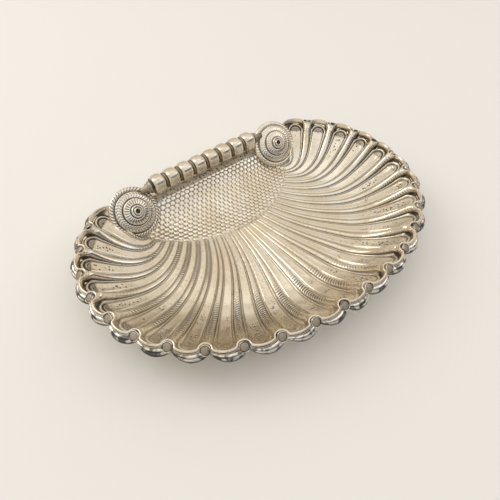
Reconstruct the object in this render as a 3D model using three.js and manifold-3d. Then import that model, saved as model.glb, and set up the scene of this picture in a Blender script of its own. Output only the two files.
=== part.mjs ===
// Shell-shaped serving dish: a chased sheet bowl with scroll castings round its rim,
// a bead bar between two rosettes along its back, and four low feet.
// Millimetres, +Z up, +X along the bead bar, +Y toward the bead bar.
// Until the last lines the rim lies at z = 0 and y = 0 is where the dish is widest.

import * as THREE from 'three'
import Module from 'manifold-3d'
import { mergeVertices } from 'three/addons/utils/BufferGeometryUtils.js'

const { degToRad, lerp, clamp, smoothstep, euclideanModulo } = THREE.MathUtils

// Rim outline: a rounded oval through the valleys, open behind the rosettes
const rimHalfWidth = 170
const rimFrontDepth = 130
const rimBackDepth = 117
const rimSquareness = 2.18
const rimEndHalfWidth = 115
const scallopCount = 25
const valleyShift = 5.4
const valleyShiftPower = 1.3
const lipBulge = 7.5

// Bowl: the wall falls from the rim and runs out into a nearly flat floor
const sheetThickness = 1.2
const wallDrop = 33
const wallShare = 0.4
const floorFall = 2
const ridgeHeightAtField = 0.9
const ridgeHeightAtRim = 3
const fluteArmShare = 0.42

// Half-moon field of scales: an arc in front, and a rise to the straight back wall behind
const fieldRadius = 114
const fieldHalfWidth = 92
const fieldFrontY = 14
const backWallInset = 4.7
const backWallHalfWidth = 66
const backWallTop = -9.8
const fieldSweep = 2.6

// Scroll castings on the lips, and the eyes between them
const scrollReach = 7
const scrollDrop = 7.5
const scrollThickness = 1.5
const scrollRise = 1.3
const scrollShare = 0.72
const scrollTail = 0.06
const scrollEndTaper = 0.55
const eyeRadius = 3.3
const eyeThickness = 2.6
const eyeOffset = 3
const eyeLean = degToRad(40)

// Rosettes, each a stepped cone leaning back
const rosetteRadius = 25.5
const rosetteHeight = 13
const rosetteBack = 3
const rosetteX = 91
const rosetteInset = 10.2
const rosetteZ = -12.6
const rosetteLean = degToRad(55)

// Bead bar
const beadCount = 8
const beadRadius = 10.7
const beadWaist = 9.3
const beadLength = 13.6
const collarRadius = 9
const collarLength = 2.3
const rodRadius = 3
const barInset = 2.4
const barZ = 1.4
const ferruleRadius = 7.5
const ferruleLength = 12
const rodSeat = 3

// Feet
const footRadius = 8.5
const footHeight = 6
const footPadRadius = 5.5
const footBackX = 68
const footBackY = 34
const footFrontX = 62
const footFrontY = -52

// Fit
const fit = 0.3

// Facets
const stepsPerFlute = 6
const fluteRows = 7
const fieldRows = 5
const fieldColumns = 28
const scrollSteps = 5
const eyeSides = 8
const rosetteSides = 24
const beadSides = 14
const beadSteps = 4
const collarSides = 10
const ferruleSides = 16
const footSides = 12

const silver = new THREE.MeshStandardMaterial({ color: 0xcbc0a8, roughness: 0.32, metalness: 1 })
const shadedSilver = new THREE.MeshStandardMaterial({ color: 0xb9ab90, roughness: 0.4, metalness: 1 })

const wasm = await Module()
wasm.setup()

// Solids for cutting and joining
function toSolid(geometry) {
  const bare = geometry.clone()
  bare.deleteAttribute('normal')
  bare.deleteAttribute('uv')
  const merged = mergeVertices(bare)
  return new wasm.Manifold(new wasm.Mesh({
    numProp: 3,
    vertProperties: new Float32Array(merged.attributes.position.array),
    triVerts: new Uint32Array(merged.index.array),
  }))
}

function toGeometry(solid) {
  const mesh = solid.getMesh()
  const geometry = new THREE.BufferGeometry()
  geometry.setAttribute('position', new THREE.BufferAttribute(mesh.vertProperties, 3))
  geometry.setIndex(new THREE.BufferAttribute(mesh.triVerts, 1))
  return geometry
}

// The rim line in plan, from the left end behind one rosette round the front to the right end
class RimLine extends THREE.Curve {
  getPoint(t, target = new THREE.Vector2()) {
    const endAngle = Math.acos((rimEndHalfWidth / rimHalfWidth) ** (rimSquareness / 2))
    const angle = lerp(Math.PI - endAngle, 2 * Math.PI + endAngle, t)
    const depth = Math.sin(angle) < 0 ? rimFrontDepth : rimBackDepth
    const round = (value) => Math.sign(value) * Math.abs(value) ** (2 / rimSquareness)
    return target.set(rimHalfWidth * round(Math.cos(angle)), depth * round(Math.sin(angle)))
  }
}

const rimLine = new RimLine()
rimLine.arcLengthDivisions = 2000
const scallopPitch = rimLine.getLength() / scallopCount

// The back wall, the rosettes and the bead bar keep their places from the rim's two ends
const rimEndY = rimLine.getPoint(1).y
const backWallY = rimEndY - backWallInset
const rosetteY = rimEndY - rosetteInset
const barY = rimEndY - barInset

function outwardAt(curve, share) {
  const tangent = curve.getTangentAt(share)
  return new THREE.Vector2(tangent.y, -tangent.x)
}

// Where a scallop's start stands on the rim line: the valleys are a little closer toward the back
// than even steps would be, most of all half way along each side
function rimShare(scallop) {
  const within = clamp(scallop, 0, scallopCount)
  const fromEnd = Math.min(within, scallopCount - within)
  const wave = Math.sin(Math.PI * (2 * fromEnd / scallopCount) ** valleyShiftPower)
  const shift = Math.sign(scallopCount / 2 - within) * valleyShift * wave ** 2
  return within / scallopCount - shift / rimLine.getLength()
}

// How far the lip stands out beyond the rim line: each scallop is an arc of a circle
function lipBulgeAt(scallop) {
  const arcRadius = (scallopPitch ** 2 / 4 + lipBulge ** 2) / (2 * lipBulge)
  const fromApex = (euclideanModulo(scallop, 1) - 0.5) * scallopPitch
  return Math.sqrt(arcRadius ** 2 - fromApex ** 2) - (arcRadius - lipBulge)
}

function lipPoint(scallop) {
  const share = rimShare(scallop)
  const bulge = Math.max(lipBulgeAt(scallop), 0)
  return rimLine.getPointAt(share).addScaledVector(outwardAt(rimLine, share), bulge)
}

// The front of the scale field, an arc from corner to corner
const fieldHalfAngle = Math.asin(fieldHalfWidth / fieldRadius)

function fieldDirection(scallop) {
  const angle = lerp(-fieldHalfAngle, fieldHalfAngle, scallop / scallopCount)
  return new THREE.Vector2(Math.sin(angle), -Math.cos(angle))
}

function fieldFrontPoint(scallop) {
  const centre = new THREE.Vector2(0, fieldFrontY + fieldRadius)
  return centre.addScaledVector(fieldDirection(scallop), fieldRadius)
}

// A flute runs from the field to the rim, square to both
function flutePath(scallop) {
  const share = rimShare(scallop)
  const start = fieldFrontPoint(scallop)
  const end = rimLine.getPointAt(share)
  const arm = fluteArmShare * start.distanceTo(end)
  return new THREE.CubicBezierCurve(
    start,
    start.clone().addScaledVector(fieldDirection(scallop), arm),
    end.clone().addScaledVector(outwardAt(rimLine, share), -arm),
    end,
  )
}

const middleLength = flutePath(scallopCount / 2).getLength()

// Height of the smooth bowl at a distance inward from the rim
function bowlHeight(inward, run) {
  const left = 1 - Math.min(inward / run, 1)
  return -wallDrop * (1 - left ** 2) - floorFall * inward / middleLength
}

// Section across one flute: a round ridge at each side, a groove beside it, a raised floor between
function fluteSection(scallop) {
  const fromRidge = Math.abs(euclideanModulo(scallop + 0.5, 1) - 0.5)
  const ridge = 1 - smoothstep(fromRidge, 0.08, 0.32)
  const panel = 0.35 * smoothstep(fromRidge, 0.34, 0.46)
  return ridge + panel - 0.5
}

function bowlColumn(scallop, growth) {
  const path = flutePath(scallop)
  const length = path.getLength()
  const outward = outwardAt(rimLine, rimShare(scallop))
  const run = wallShare * path.getPoint(1).length()
  const column = []
  for (let row = 0; row <= fluteRows; row += 1) {
    const reach = 1 - (1 - row / fluteRows) ** 1.4
    const spread = (Math.max(lipBulgeAt(scallop), 0) + growth) * smoothstep(reach, 0.7, 1)
    const plan = path.getPointAt(reach).addScaledVector(outward, spread)
    const ridgeHeight = lerp(ridgeHeightAtField, ridgeHeightAtRim, reach)
    const fade = smoothstep(reach, 0, 0.1) * (1 - smoothstep(reach, 0.85, 1))
    column.push({
      place: new THREE.Vector3(plan.x, plan.y, bowlHeight(length * (1 - reach), run)),
      lift: fade * ridgeHeight * fluteSection(scallop),
    })
  }
  return column
}

function fieldPoint(share, depth, growth) {
  const scallop = share * scallopCount
  const front = bowlColumn(scallop, 0)[0].place
  const backX = lerp(-backWallHalfWidth, backWallHalfWidth, share)
  const x = lerp(front.x, backX, depth)
  const y = lerp(front.y, backWallY + growth * depth, depth)
  const z = lerp(front.z, backWallTop, depth ** fieldSweep)
  return { place: new THREE.Vector3(x, y, z), lift: 0 }
}

// A sheet is a net of points, later given an upper and a lower face
class Sheet {
  points = []
  faces = []

  add(points) {
    this.points.push(...points)
    return points.map((_, i) => this.points.length - points.length + i)
  }

  face(a, b, c) {
    if (a !== b && b !== c && c !== a) this.faces.push([a, b, c])
  }

  // Fills between two rows that may differ in length, the second one outside the first
  strip(inner, outer) {
    let i = 0
    let j = 0
    while (i < inner.length - 1 || j < outer.length - 1) {
      const innerNext = (i + 1) / (inner.length - 1)
      const outerNext = (j + 1) / (outer.length - 1)
      if (innerNext <= outerNext) {
        this.face(inner[i], outer[j], inner[i + 1])
        i += 1
      } else {
        this.face(inner[i], outer[j], outer[j + 1])
        j += 1
      }
    }
  }

  normals() {
    const geometry = new THREE.BufferGeometry()
    geometry.setFromPoints(this.points.map((point) => point.place))
    geometry.setIndex(this.faces.flat())
    geometry.computeVertexNormals()
    const { normal } = geometry.attributes
    return this.points.map((_, i) => new THREE.Vector3().fromBufferAttribute(normal, i))
  }

  // Closes the sheet between two faces, each given as a place for a point and its normal
  close(upper, lower) {
    const normals = this.normals()
    const count = this.points.length
    const places = [upper, lower].flatMap((face) => this.points.map((p, i) => face(p, normals[i])))
    const edges = new Set(this.faces.flatMap(([a, b, c]) => [`${a},${b}`, `${b},${c}`, `${c},${a}`]))
    const index = this.faces.flat()
    for (const [a, b, c] of this.faces) index.push(a + count, c + count, b + count)
    for (const edge of edges) {
      const [a, b] = edge.split(',').map(Number)
      if (!edges.has(`${b},${a}`)) index.push(b, a, a + count, b, a + count, b + count)
    }
    const geometry = new THREE.BufferGeometry().setFromPoints(places)
    geometry.setIndex(index)
    return geometry
  }
}

function bowlSheet(growth) {
  const sheet = new Sheet()
  const columns = []
  for (let i = 0; i <= scallopCount * stepsPerFlute; i += 1) {
    columns.push(sheet.add(bowlColumn(i / stepsPerFlute, growth)))
  }
  const fluteRow = (row) => columns.map((column) => column[row])
  for (let row = 0; row < fluteRows; row += 1) sheet.strip(fluteRow(row), fluteRow(row + 1))

  const rows = [fluteRow(0)]
  for (let row = 1; row <= fieldRows; row += 1) {
    const depth = (row / fieldRows) ** 0.75
    const shares = Array.from({ length: fieldColumns + 1 }, (_, i) => i / fieldColumns)
    rows.push(sheet.add(shares.map((share) => fieldPoint(share, depth, growth))))
    sheet.strip(rows[row], rows[row - 1])
  }
  sheet.strip(columns[0], rows.map((row) => row[0]))
  sheet.strip(rows.map((row) => row.at(-1)), columns.at(-1))
  return sheet
}

const offsetPoint = (distance) => (point, normal) => (
  point.place.clone().addScaledVector(normal, point.lift + distance)
)

// Cutters: the sheet with its gap, all that is under its face, and all that is over its back.
// The one under the face fans out to the rear, where it also clears the sheet's edge from below.
const cutDepth = 60
const cutFan = 1.4
const farUnder = (point, normal) => {
  const rearward = cutFan * cutDepth * smoothstep(point.place.y, 0, backWallY)
  return offsetPoint(fit)(point, normal).add(new THREE.Vector3(0, rearward, -cutDepth))
}
const justUnder = offsetPoint(-sheetThickness - fit)
const farOver = (point, normal) => justUnder(point, normal).add(new THREE.Vector3(0, 0, cutDepth))

const snugSheet = bowlSheet(fit)
const bowlGeometry = bowlSheet(0).close(offsetPoint(0), offsetPoint(-sheetThickness))
const bowlWithGap = toSolid(snugSheet.close(offsetPoint(fit), justUnder))
const underBowlFace = toSolid(snugSheet.close(offsetPoint(fit), farUnder))
const overBowlBack = toSolid(snugSheet.close(farOver, justUnder))

// A body through stations that all have the same section points, closed at both ends
function loft(stations, section) {
  const size = section.length
  const index = []
  for (let i = 0; i < stations.length - 1; i += 1) {
    for (let j = 0; j < size; j += 1) {
      const a = i * size + j
      const b = i * size + ((j + 1) % size)
      index.push(b, a, a + size, b, a + size, b + size)
    }
  }
  const last = (stations.length - 1) * size
  for (const [a, b, c] of THREE.ShapeUtils.triangulateShape(section, [])) {
    index.push(a, b, c)
    index.push(last + a, last + c, last + b)
  }
  const geometry = new THREE.BufferGeometry().setFromPoints(stations.flat())
  geometry.setIndex(index)
  return geometry
}

// Section of a scroll strip, outward and up from the lip: a quarter round that turns down,
// open underneath so that it clears the edge of the sheet
function scrollSection(taper) {
  const reach = scrollReach * taper
  const drop = scrollDrop * taper
  const quarterRound = (wide, high, angles) => angles.map((angle) => new THREE.Vector2(
    fit + wide * Math.sin(degToRad(angle)),
    high * Math.cos(degToRad(angle)) - drop,
  ))
  const inner = quarterRound(reach - scrollThickness, drop + scrollRise - scrollThickness, [35, 90])
  const outer = quarterRound(reach, drop + scrollRise, [90, 60, 30, 0])
  return [new THREE.Vector2(fit, fit), ...inner, ...outer]
}

// The boss in a valley, facing out and up
function valleyEye(valley) {
  const share = rimShare(valley)
  const outward = outwardAt(rimLine, share)
  const centre = rimLine.getPointAt(share).addScaledVector(outward, eyeOffset)
  const eye = new THREE.CylinderGeometry(eyeRadius, eyeRadius, eyeThickness, eyeSides)
  eye.rotateX(Math.PI / 2)
  eye.rotateY(eyeLean)
  eye.rotateZ(Math.atan2(outward.y, outward.x))
  eye.translate(centre.x, centre.y, scrollRise / 2)
  return toSolid(eye).subtract(bowlWithGap)
}

// A strip along one lip; its tail end, where it has one, runs on into the valley's eye
function scrollGeometry(scallop) {
  const tail = Math.sign(Math.floor(scallopCount / 2) - scallop)
  const from = -scrollShare / 2 - (tail < 0 ? scrollTail : 0)
  const to = scrollShare / 2 + (tail > 0 ? scrollTail : 0)
  const stations = []
  for (let i = 0; i <= scrollSteps; i += 1) {
    const along = lerp(from, to, i / scrollSteps)
    const place = scallop + 0.5 + along
    const ahead = lipPoint(place + 0.01).sub(lipPoint(place - 0.01)).normalize()
    const lip = lipPoint(place)
    const taper = lerp(1, scrollEndTaper, (2 * along / scrollShare) ** 2)
    stations.push(scrollSection(taper).map((point) => new THREE.Vector3(
      lip.x + ahead.y * point.x,
      lip.y - ahead.x * point.x,
      point.y,
    )))
  }
  let scroll = toSolid(loft(stations, scrollSection(1)))
  if (tail !== 0) scroll = scroll.add(valleyEye(tail > 0 ? scallop + 1 : scallop))
  return toGeometry(scroll)
}

// Turned bodies: the profile runs (radius, height) and the axis comes out along +Z
function turned(profile, segments) {
  const points = profile.map(([radius, height]) => new THREE.Vector2(radius, height))
  return new THREE.LatheGeometry(points, segments).rotateX(Math.PI / 2)
}

function rosetteProfile(grow) {
  const edge = rosetteRadius + grow
  return [
    [0, -rosetteBack - grow],
    [0.9 * edge, -rosetteBack - grow],
    [edge, -0.3 * rosetteBack],
    [0.96 * edge, 0.1 * rosetteHeight + grow],
    [0.79 * edge, 0.26 * rosetteHeight + grow],
    [0.76 * edge, 0.44 * rosetteHeight + grow],
    [0.54 * edge, 0.56 * rosetteHeight + grow],
    [0.51 * edge, 0.74 * rosetteHeight + grow],
    [0.27 * edge, 0.82 * rosetteHeight + grow],
    [0.24 * edge, rosetteHeight + grow],
    [0.12 * edge, rosetteHeight + grow],
    [0.08 * edge, 0.9 * rosetteHeight + grow],
    [0, 0.9 * rosetteHeight + grow],
  ]
}

function placeRosette(geometry, side) {
  return geometry.rotateX(rosetteLean).translate(side * rosetteX, rosetteY, rosetteZ)
}

function rosetteGeometry(side) {
  const body = placeRosette(turned(rosetteProfile(0), rosetteSides), side)
  return toGeometry(toSolid(body).subtract(underBowlFace).subtract(bowlWithGap))
}

// A ring round the bead bar: its profile closes on itself round the bore
function barRing(profile, segments) {
  const bore = rodRadius + fit
  const first = profile[0][1]
  const last = profile.at(-1)[1]
  return turned([[bore, first], ...profile, [bore, last], [bore, first]], segments)
}

function beadGeometry() {
  const half = beadLength / 2
  const profile = []
  for (let i = 0; i <= beadSteps; i += 1) {
    const height = lerp(-half, half, i / beadSteps)
    const swell = Math.sqrt(1 - (height / half) ** 2 * (1 - (beadWaist / beadRadius) ** 2))
    profile.push([beadRadius * swell, height])
  }
  return barRing(profile, beadSides)
}

const beadPitch = beadLength + collarLength + 2 * fit
const barHalfLength = beadPitch * beadCount / 2

function collarGeometry() {
  const half = collarLength / 2
  return barRing([[collarRadius, -half], [collarRadius, half]], collarSides)
}

function ferruleGeometry(side) {
  const body = turned([
    [0, rodSeat],
    [rodRadius + fit, rodSeat],
    [rodRadius + fit, 0],
    [ferruleRadius, 0],
    [ferruleRadius, 0.4 * ferruleLength],
    [0.7 * ferruleRadius, ferruleLength],
    [0, ferruleLength],
  ], ferruleSides)
  body.rotateY(side * Math.PI / 2)
  body.translate(side * barHalfLength, barY, barZ)
  const rosette = toSolid(placeRosette(turned(rosetteProfile(fit), rosetteSides), side))
  return toGeometry(toSolid(body).subtract(rosette))
}

const bowlFloor = bowlHeight(middleLength, 1) - sheetThickness - ridgeHeightAtRim / 2
const floorBelowRim = bowlFloor - footHeight

function footGeometry(x, y) {
  const top = footHeight + 8
  const foot = turned([
    [0, 0],
    [footPadRadius, 0],
    [footRadius, 0.35 * footHeight],
    [0.95 * footRadius, 0.75 * footHeight],
    [0.7 * footRadius, footHeight],
    [0.7 * footRadius, top],
    [0, top],
  ], footSides)
  foot.translate(x, y, floorBelowRim)
  return toGeometry(toSolid(foot).subtract(overBowlBack))
}

const dish = new THREE.Group()

function addPiece(name, geometry, material = silver) {
  const mesh = new THREE.Mesh(geometry, material)
  mesh.name = name
  dish.add(mesh)
  return mesh
}

const twoDigits = (number) => String(number).padStart(2, '0')

addPiece('shell_bowl', bowlGeometry)
for (let i = 0; i < scallopCount; i += 1) {
  addPiece(`rim_scroll_${twoDigits(i + 1)}`, scrollGeometry(i))
}

for (const [name, side] of [['left', -1], ['right', 1]]) {
  addPiece(`rosette_${name}`, rosetteGeometry(side))
  addPiece(`bar_ferrule_${name}`, ferruleGeometry(side))
}

const rodLength = 2 * (barHalfLength + rodSeat - fit)
const rodGeometry = new THREE.CylinderGeometry(rodRadius, rodRadius, rodLength, ferruleSides)
const rod = addPiece('bar_rod', rodGeometry, shadedSilver)
rod.rotation.z = Math.PI / 2
rod.position.set(0, barY, barZ)

for (let i = 0; i < beadCount; i += 1) {
  const bead = addPiece(`bar_bead_${i + 1}`, beadGeometry())
  bead.rotation.y = Math.PI / 2
  bead.position.set((i + 0.5 - beadCount / 2) * beadPitch, barY, barZ)
}
for (let i = 1; i < beadCount; i += 1) {
  const collar = addPiece(`bar_collar_${i}`, collarGeometry(), shadedSilver)
  collar.rotation.y = Math.PI / 2
  collar.position.set((i - beadCount / 2) * beadPitch, barY, barZ)
}

for (const [name, side] of [['left', -1], ['right', 1]]) {
  addPiece(`foot_back_${name}`, footGeometry(side * footBackX, footBackY))
  addPiece(`foot_front_${name}`, footGeometry(side * footFrontX, footFrontY))
}

// The origin goes to the middle of the base
const bounds = new THREE.Box3().setFromObject(dish)
const centre = bounds.getCenter(new THREE.Vector3())
dish.position.set(-centre.x, -centre.y, -bounds.min.z)

export default dish
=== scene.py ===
"""Looks of the silver-plated shell dish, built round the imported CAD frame."""
import functools
import math

import bpy
import numpy as np
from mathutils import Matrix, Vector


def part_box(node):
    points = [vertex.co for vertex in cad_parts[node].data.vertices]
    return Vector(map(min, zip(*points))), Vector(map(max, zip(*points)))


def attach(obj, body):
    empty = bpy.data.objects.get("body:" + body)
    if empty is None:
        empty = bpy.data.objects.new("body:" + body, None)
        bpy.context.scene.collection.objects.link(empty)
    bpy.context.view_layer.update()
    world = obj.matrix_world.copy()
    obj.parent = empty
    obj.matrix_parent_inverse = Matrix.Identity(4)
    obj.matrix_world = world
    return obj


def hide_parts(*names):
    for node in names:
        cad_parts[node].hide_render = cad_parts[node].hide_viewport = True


bl_info = {
    "name": "Shell dish",
    "version": (1, 0, 0),
    "blender": (4, 5, 0),
    "location": "View3D > Sidebar > Shell dish",
    "description": "Fluted silver-plated shell dish with a scrolled rim, rosettes and a bead bar",
    "category": "Add Mesh",
}

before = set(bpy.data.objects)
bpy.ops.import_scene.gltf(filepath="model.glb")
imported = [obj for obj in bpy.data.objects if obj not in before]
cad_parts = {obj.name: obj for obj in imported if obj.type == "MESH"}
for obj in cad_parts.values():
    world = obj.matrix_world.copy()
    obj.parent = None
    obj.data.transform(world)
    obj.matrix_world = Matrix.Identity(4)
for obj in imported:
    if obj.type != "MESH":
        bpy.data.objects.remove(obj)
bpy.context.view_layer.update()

MM = 0.001
SCALLOPS = 25
BEADS = 8

# The middle of the CAD's bead bar, and where the rim lies from it
BAR = np.mean(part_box("bar_rod"), axis=0)
BAR_BEFORE_ENDS = 2.4 * MM
BAR_ABOVE_RIM = 1.4 * MM


def linear(text):
    """sRGB hex to linear colour: c/12.92 up to 0.04045, else ((c + 0.055) / 1.055) ** 2.4."""
    value = np.array([int(text[i:i + 2], 16) for i in (1, 3, 5)]) / 255
    low, high = value / 12.92, ((value + 0.055) / 1.055) ** 2.4
    return tuple(float(c) for c in np.where(value <= 0.04045, low, high))


def length_prop(label, text, size):
    """A length in metres, given in millimetres."""
    return bpy.props.FloatProperty(name=label, description=text, default=size * MM, precision=5,
                                   subtype="DISTANCE", unit="LENGTH")


def factor_prop(label, text, value):
    """A share from 0 to 1."""
    return bpy.props.FloatProperty(name=label, description=text, default=value, subtype="FACTOR",
                                   soft_min=0, soft_max=1)


def power_prop(label, text, value):
    """An exponent."""
    return bpy.props.FloatProperty(name=label, description=text, default=value)


def angle_prop(label, text, degrees):
    """An angle, given in degrees."""
    return bpy.props.FloatProperty(name=label, description=text, default=math.radians(degrees),
                                   subtype="ANGLE", unit="ROTATION")


def colour_prop(label, text, value):
    """A colour, given as sRGB hex."""
    return bpy.props.FloatVectorProperty(name=label, description=text, default=linear(value),
                                         size=3, min=0, max=1, subtype="COLOR")


class ShellSizes(bpy.types.PropertyGroup):
    """Sizes of the shell sheet, the CAD's own but for the lips' bulge and the ridges' height."""
    half_width: length_prop("Half width", "Middle of the dish to the rim line at its side", 170)
    front_depth: length_prop("Front depth", "Widest line to the rim line at the front", 130)
    back_depth: length_prop("Back depth", "Widest line to the rim oval's back", 117)
    end_half_width: length_prop("End half width", "Middle to the rim's end at a rosette", 115)
    squareness: power_prop("Squareness", "Power of the rim oval; 2 is an ellipse", 2.18)
    valley_shift: length_prop("Valley shift", "Most that a valley is off even steps", 5.4)
    lip_bulge: length_prop("Lip bulge", "How far a scallop stands out of the rim line", 7.0)
    sheet: length_prop("Sheet", "Thickness of the sheet", 1.2)
    wall_drop: length_prop("Wall drop", "Height that the wall falls from the rim", 33)
    wall_share: factor_prop("Wall share", "Part of the rim's radius that the wall takes", 0.4)
    floor_fall: length_prop("Floor fall", "Fall of the floor from wall to field", 2)
    ridge_at_field: length_prop("Ridge at field", "Height of a ridge where it starts", 0.9)
    ridge_at_rim: length_prop("Ridge at rim", "Height of a ridge near the rim", 2.9)
    flute_arm: factor_prop("Flute arm", "A flute's handles as a part of its chord", 0.42)
    field_radius: length_prop("Field radius", "Radius of the scale field's front arc", 114)
    field_half_width: length_prop("Field half width", "Half the width of the scale field", 92)
    field_front: length_prop("Field front", "Widest line to the front of the scale field", 14)
    back_inset: length_prop("Back inset", "Rim's end to the back edge of the field", 4.7)
    back_half_width: length_prop("Back half width", "Half the length of the back edge", 66)
    back_top: length_prop("Back top", "Rim plane down to the back edge", 9.8)
    field_sweep: power_prop("Field sweep", "Power of the field's rise toward the back", 2.6)
    lip_roll: length_prop("Lip roll", "Radius of the rolled edge", 1.1)
    lip_band: length_prop("Lip band", "Width of the polished band inside the edge", 2.4)
    arch_depth: length_prop("Arch depth", "Rim line in to where the flutes' arches begin", 5.2)


class TrimSizes(bpy.types.PropertyGroup):
    """Sizes of the scale pattern and of what is fixed to the sheet."""
    scale_pitch: length_prop("Scale pitch", "Width of one scale along the bar", 5.65)
    scale_row: length_prop("Scale row", "Distance between rows, along the surface", 4.35)
    scale_height: length_prop("Scale height", "How far a scale stands up", 0.95)
    strip_height: length_prop("Strip height", "Plain strip between scales and beads", 6.5)
    band_reach: length_prop("Band reach", "How far a rim scroll stands out", 4.3)
    band_drop: length_prop("Band drop", "How far a rim scroll hangs down", 4.6)
    band_wall: length_prop("Band wall", "Thickness of a rim scroll", 1.3)
    eye_offset: length_prop("Eye offset", "Rim line out to the middle of an eye", 5.0)
    eye_radius: length_prop("Eye radius", "Radius of the eye in a valley", 4.5)
    rosette_lean: angle_prop("Rosette lean", "Lean of a rosette from lying flat", 48)
    rosette_turn: angle_prop("Rosette turn", "Turn of a rosette toward the dish's middle", 6)
    bead_radius: length_prop("Bead radius", "Radius of a bead at its middle", 10.7)
    bead_length: length_prop("Bead length", "Length of a bead along the bar", 13.6)
    collar_radius: length_prop("Collar radius", "Radius of a collar between beads", 8.5)
    collar_length: length_prop("Collar length", "Length of a collar along the bar", 2.3)


class Colours(bpy.types.PropertyGroup):
    """Colours of the plate, its tarnish and painted shade, and the stage."""
    silver: colour_prop("Silver", "Polished plate", "#F5EEE1")
    worn: colour_prop("Worn silver", "Plate that has gone cream", "#DECFB5")
    # Brown film: tarnish, and also painted shade on the panels' ends, in the grooves and between the
    # beads
    tarnish_and_shade: colour_prop("Tarnish", "Brown film in the grooves", "#2E221A")
    # Painted blue-black shade and reflection, on the rim scrolls and on the scale rows nearest the bead
    # bar
    blue_black_shade: colour_prop("Dark film", "Blue-black film where the mask cool is 1", "#1A2130")
    floor: colour_prop("Floor", "Pale studio floor", "#F3F1ED")


# Numbers to meshes

WELD_DISTANCE = 0.002 * MM


def unit(vectors):
    """Vectors divided by their length; a zero vector stays zero."""
    size = np.linalg.norm(vectors, axis=-1, keepdims=True)
    return vectors / np.maximum(size, 1e-12)


def smoothstep(value, low, high):
    """3t^2 - 2t^3 with t the place of value between low and high."""
    t = np.clip((value - low) / (high - low), 0, 1)
    return t * t * (3 - 2 * t)


def plateau(value, rise, fall):
    """1 between two smooth steps, each given by its ends, and 0 outside them."""
    return smoothstep(value, *rise) * (1 - smoothstep(value, *fall))


def bell(value, middle, width):
    """exp(-((v - m) / w)^2)."""
    return np.exp(-((value - middle) / width) ** 2)


def mix(low, high, share):
    """low + share (high - low)."""
    return low + (high - low) * share


def run_along(line):
    """Length of a line of points up to each of them."""
    step = np.linalg.norm(np.diff(line, axis=-2), axis=-1)
    return np.concatenate([np.zeros_like(step[..., :1]), np.cumsum(step, axis=-1)], axis=-1)


def along_line(place, run, line):
    """Points of a plane line at given lengths along it."""
    return np.stack([np.interp(place, run, line[:, i]) for i in (0, 1)], axis=-1)


def round_angles(sides):
    """Even angles once round."""
    return np.linspace(0, 2 * math.pi, sides, endpoint=False)


def skin(rows, columns, wrap_columns=False):
    """Triangles of a net of rows x columns points, two to each square."""
    r = np.arange(rows - 1)[:, None]
    c = np.arange(columns if wrap_columns else columns - 1)[None, :]
    right = (c + 1) % columns
    a, b = r * columns + c, r * columns + right
    d, e = (r + 1) * columns + c, (r + 1) * columns + right
    squares = np.stack([a, b, e, d], axis=-1).reshape(-1, 4)
    return np.concatenate([squares[:, [0, 1, 2]], squares[:, [0, 2, 3]]])


def zip_chains(long_chain, short_chain):
    """Triangles between two chains of points; the long one has n steps for each of the short."""
    steps = len(long_chain) - 1
    each = steps // (len(short_chain) - 1)
    i = np.arange(steps)
    j = np.arange(len(short_chain) - 1)
    wide = np.stack([long_chain[i], long_chain[i + 1], short_chain[i // each]], axis=-1)
    turn = np.stack([short_chain[j], long_chain[(j + 1) * each], short_chain[j + 1]], axis=-1)
    return np.concatenate([wide, turn])


def closed_sheet(net, long_rows):
    """Faces of a net (columns x rows) whose rows run round the sheet's section, with both ends
    capped. The first long_rows rows are the upper chain, the rest the lower one, back to the
    start."""
    columns, rows = net.shape[:2]
    faces = [skin(columns, rows, wrap_columns=True)]
    for at, turned in ((0, 1), (columns - 1, -1)):
        upper = at * rows + np.arange(long_rows)
        lower = at * rows + np.arange(rows - 1, long_rows - 1, -1)
        faces.append(zip_chains(upper, lower)[:, ::-turned])
    return np.concatenate(faces)


def weld(points, faces, values):
    """Points that share a place become one, and triangles that close up are dropped."""
    keys = np.round(points / WELD_DISTANCE).astype(np.int64)
    _, first, back = np.unique(keys, axis=0, return_index=True, return_inverse=True)
    faces = back.reshape(-1)[faces]
    a, b, c = faces.T
    faces = faces[(a != b) & (b != c) & (c != a)]
    return points[first], faces, {name: value[first] for name, value in values.items()}


def make_piece(name, points, faces, replaced, material, masks):
    """A mesh object from arrays: welded, facing outwards (its signed volume is positive), with
    its masks stored on its points, riding root."""
    masks = {key: np.asarray(value).reshape(-1) for key, value in masks.items()}
    points, faces, masks = weld(points.reshape(-1, 3), faces, masks)
    corner = points[faces]
    volume = np.einsum("ij,ij->", corner[:, 0], np.cross(corner[:, 1], corner[:, 2]))
    if volume < 0:
        faces = faces[:, ::-1]
    mesh = bpy.data.meshes.new(name)
    mesh.vertices.add(len(points))
    mesh.vertices.foreach_set("co", points.astype(np.float32).reshape(-1))
    mesh.loops.add(faces.size)
    mesh.loops.foreach_set("vertex_index", faces.astype(np.int32).reshape(-1))
    mesh.polygons.add(len(faces))
    mesh.polygons.foreach_set("loop_start", np.arange(0, faces.size, 3, dtype=np.int32))
    mesh.polygons.foreach_set("use_smooth", np.ones(len(faces), dtype=bool))
    for key, value in masks.items():
        layer = mesh.attributes.new(key, "FLOAT", "POINT")
        layer.data.foreach_set("value", value.astype(np.float32))
    mesh.update(calc_edges=True)
    if mesh.validate():
        raise RuntimeError(name + " has a broken face")
    mesh.materials.append(material)
    piece = bpy.data.objects.new(name, mesh)
    bpy.context.scene.collection.objects.link(piece)
    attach(piece, "root")
    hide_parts(*replaced)
    return piece


def turned_net(profile, sides):
    """Surface of revolution about Z: (r cos a, r sin a, h) for a profile of (r, h)."""
    angle = round_angles(sides)
    r, h = np.array(profile).T
    x, y = r[:, None] * np.cos(angle), r[:, None] * np.sin(angle)
    return np.stack([x, y, np.broadcast_to(h[:, None], x.shape)], axis=-1)


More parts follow.
